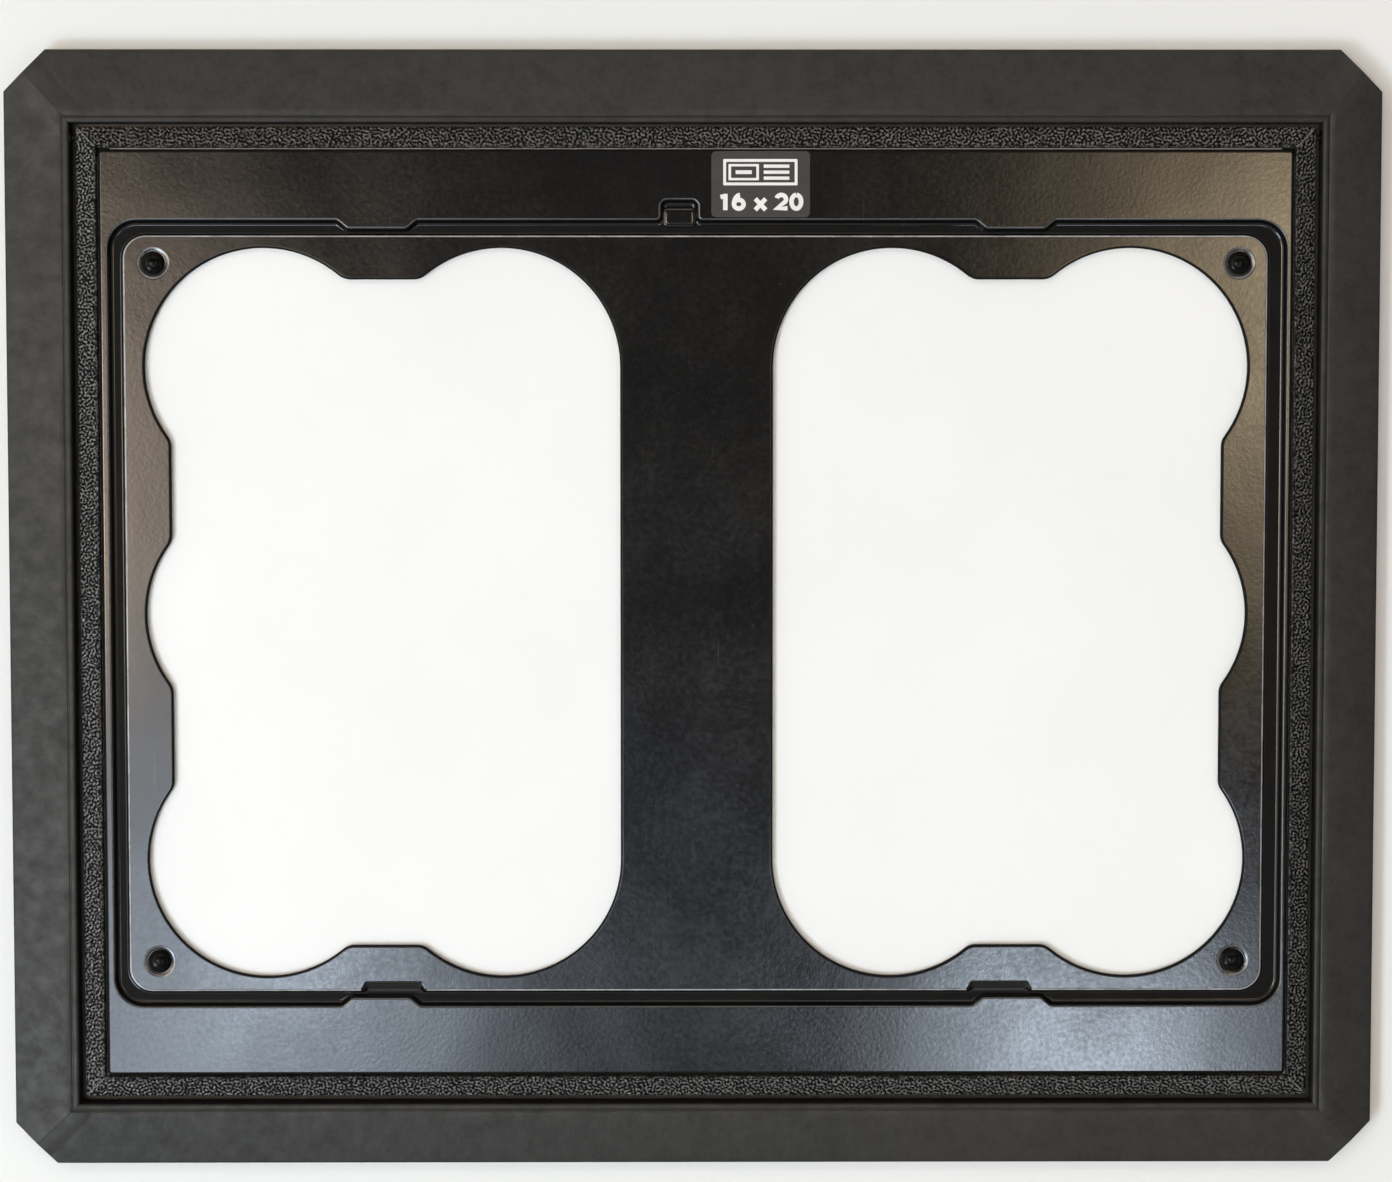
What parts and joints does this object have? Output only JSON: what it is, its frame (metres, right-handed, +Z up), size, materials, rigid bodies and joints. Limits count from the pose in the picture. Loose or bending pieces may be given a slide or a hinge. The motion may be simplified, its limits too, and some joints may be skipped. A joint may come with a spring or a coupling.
{
  "type": "hinged enlarging easel",
  "caption": "Flat darkroom enlarging easel: a mitred masking frame hinged to a low base with a white bed board, a pressed bottom pan with scalloped openings, and rubber feet.",
  "frame": {"origin": "centre of the masking frame's outline, on the surface the frame lies on", "axes": "+X along the long side, +Y towards the hinge side (the back), +Z up out of the underside of the base: the easel lies on its working side, as in the picture. In use it is turned over, so -Z is up then"},
  "size_m": [0.5796, 0.4732, 0.0136],
  "materials": {
    "frame_vinyl": "matt black vinyl covering, faintly mottled",
    "mask_steel": "satin black paint",
    "zinc_steel": "zinc-plated steel",
    "screw_steel": "black oxide",
    "brass": "turned brass",
    "grain_trim": "coarse leather grain, semi-matt black",
    "gloss_enamel": "glossy black enamel with a fine orange peel",
    "white_board": "white laminate",
    "rubber": "smooth black rubber",
    "guide_tape": "thin plastic strip",
    "label_film": "printed dark grey film",
    "felt_pad": "felt"
  },
  "bodies": {
    "masking_frame": {"frame_rail_back": "frame_vinyl", "frame_rail_front": "frame_vinyl", "frame_rail_left": "frame_vinyl", "frame_rail_right": "frame_vinyl", "corner_key_back_left": "zinc_steel", "corner_key_back_right": "zinc_steel", "corner_key_front_left": "zinc_steel", "corner_key_front_right": "zinc_steel", "mask_plate": "mask_steel", "mask_screw_1": "screw_steel", "mask_screw_2": "screw_steel", "mask_screw_3": "screw_steel", "mask_screw_4": "screw_steel", "mask_screw_5": "screw_steel", "mask_screw_6": "screw_steel", "mask_screw_7": "screw_steel", "mask_screw_8": "screw_steel", "hinge_bush_left": "brass", "hinge_bush_right": "brass"},
    "base": {"base_trim_back": "grain_trim", "base_trim_front": "grain_trim", "base_trim_left": "grain_trim", "base_trim_right": "grain_trim", "bed_board": "white_board", "bottom_pan": "gloss_enamel", "foot_back_left": "rubber", "foot_back_right": "rubber", "foot_front_left": "rubber", "foot_front_right": "rubber", "hinge_stub_left": "zinc_steel", "hinge_stub_right": "zinc_steel", "paper_guide_left": "guide_tape", "paper_guide_right": "guide_tape", "size_label": "label_film", "pan_pad_1": "felt_pad", "pan_pad_2": "felt_pad", "pan_pad_3": "felt_pad", "pan_pad_4": "felt_pad", "pan_pad_5": "felt_pad", "pan_pad_6": "felt_pad", "pan_pad_7": "felt_pad", "pan_pad_8": "felt_pad"}
  },
  "joints": [
    {"name": "base_hinge", "type": "hinge", "parent": "masking_frame", "child": "base", "pos_m": [0.0012, 0.1997, 0.0072], "axis": [-1, 0, 0], "range_deg": [0, 90]}
  ]
}
